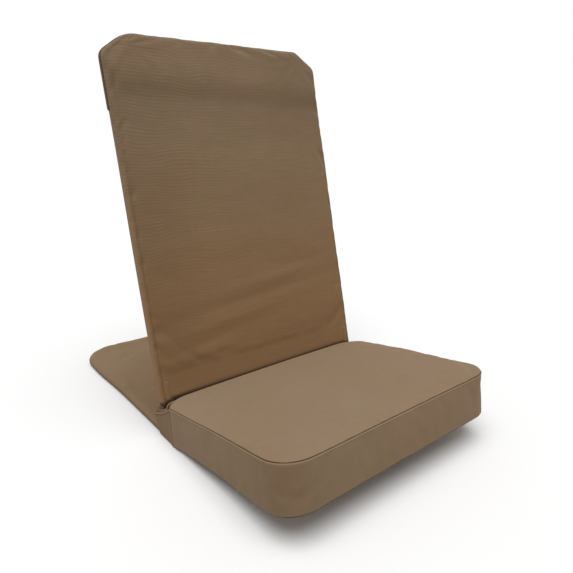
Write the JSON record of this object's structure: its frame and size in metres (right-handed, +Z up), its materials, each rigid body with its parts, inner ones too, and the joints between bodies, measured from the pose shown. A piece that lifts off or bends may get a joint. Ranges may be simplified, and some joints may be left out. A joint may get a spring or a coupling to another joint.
{
  "type": "folding floor chair",
  "caption": "Legless floor chair: padded seat, backrest that folds forward onto the seat on a side hinge, and a flat rear tail that keeps it from tipping.",
  "frame": {"origin": "centre of the overall box at floor level", "axes": "+Z up, +Y to the rear (the sitter faces -Y), +X to the right as seen from the front, which is the sitter's left"},
  "size_m": [0.4, 0.6856, 0.5865],
  "materials": {
    "canvas": "woven canvas",
    "foam": "open-cell foam",
    "webbing": "woven sling",
    "frame_paint": "black powder coat",
    "fastener": "zinc plated",
    "bush": "moulded nylon",
    "zip_teeth": "coil zip on woven tape",
    "zip_metal": "antique die-cast"
  },
  "bodies": {
    "base": {"base_frame": "frame_paint", "hinge_cross_rod": "frame_paint", "hinge_ear_right": "frame_paint", "hinge_ear_left": "frame_paint", "stop_rod": "frame_paint", "pivot_bushes": "bush", "seat_sling": "webbing", "seat_foam": "foam", "seat_cover_top": "canvas", "seat_cover_boxing": "canvas", "seat_cover_bottom": "canvas", "seat_zip_tape": "zip_teeth", "tail_pad": "foam", "tail_cover_top": "canvas", "tail_cover_bottom": "canvas", "hinge_flap_right": "canvas", "hinge_flap_left": "canvas"},
    "backrest": {"back_frame": "frame_paint", "back_cross_rod": "frame_paint", "pivot_arm_right": "frame_paint", "pivot_arm_left": "frame_paint", "pivot_bolts": "fastener", "pivot_washers": "fastener", "pivot_nuts": "fastener", "back_foam": "foam", "back_cover_front": "canvas", "back_cover_rear": "canvas", "back_hood": "canvas"},
    "zip_slider": {"seat_zip_slider": "zip_metal"},
    "zip_pull": {"seat_zip_pull": "zip_metal"}
  },
  "joints": [
    {"name": "back_fold", "type": "hinge", "parent": "base", "child": "backrest", "pos_m": [0, -0.02377, 0.07136], "axis": [1, 0, 0], "range_deg": [0, 94.2]},
    {"name": "seat_zip", "type": "slide", "parent": "base", "child": "zip_slider", "axis": [-1, 0, 0], "range_m": [0, 0.29]},
    {"name": "zip_pull_swing", "type": "hinge", "parent": "zip_slider", "child": "zip_pull", "pos_m": [0.145, -0.04145, 0.02265], "axis": [0, -0.2284, -0.9736], "range_deg": [0, 170]}
  ]
}
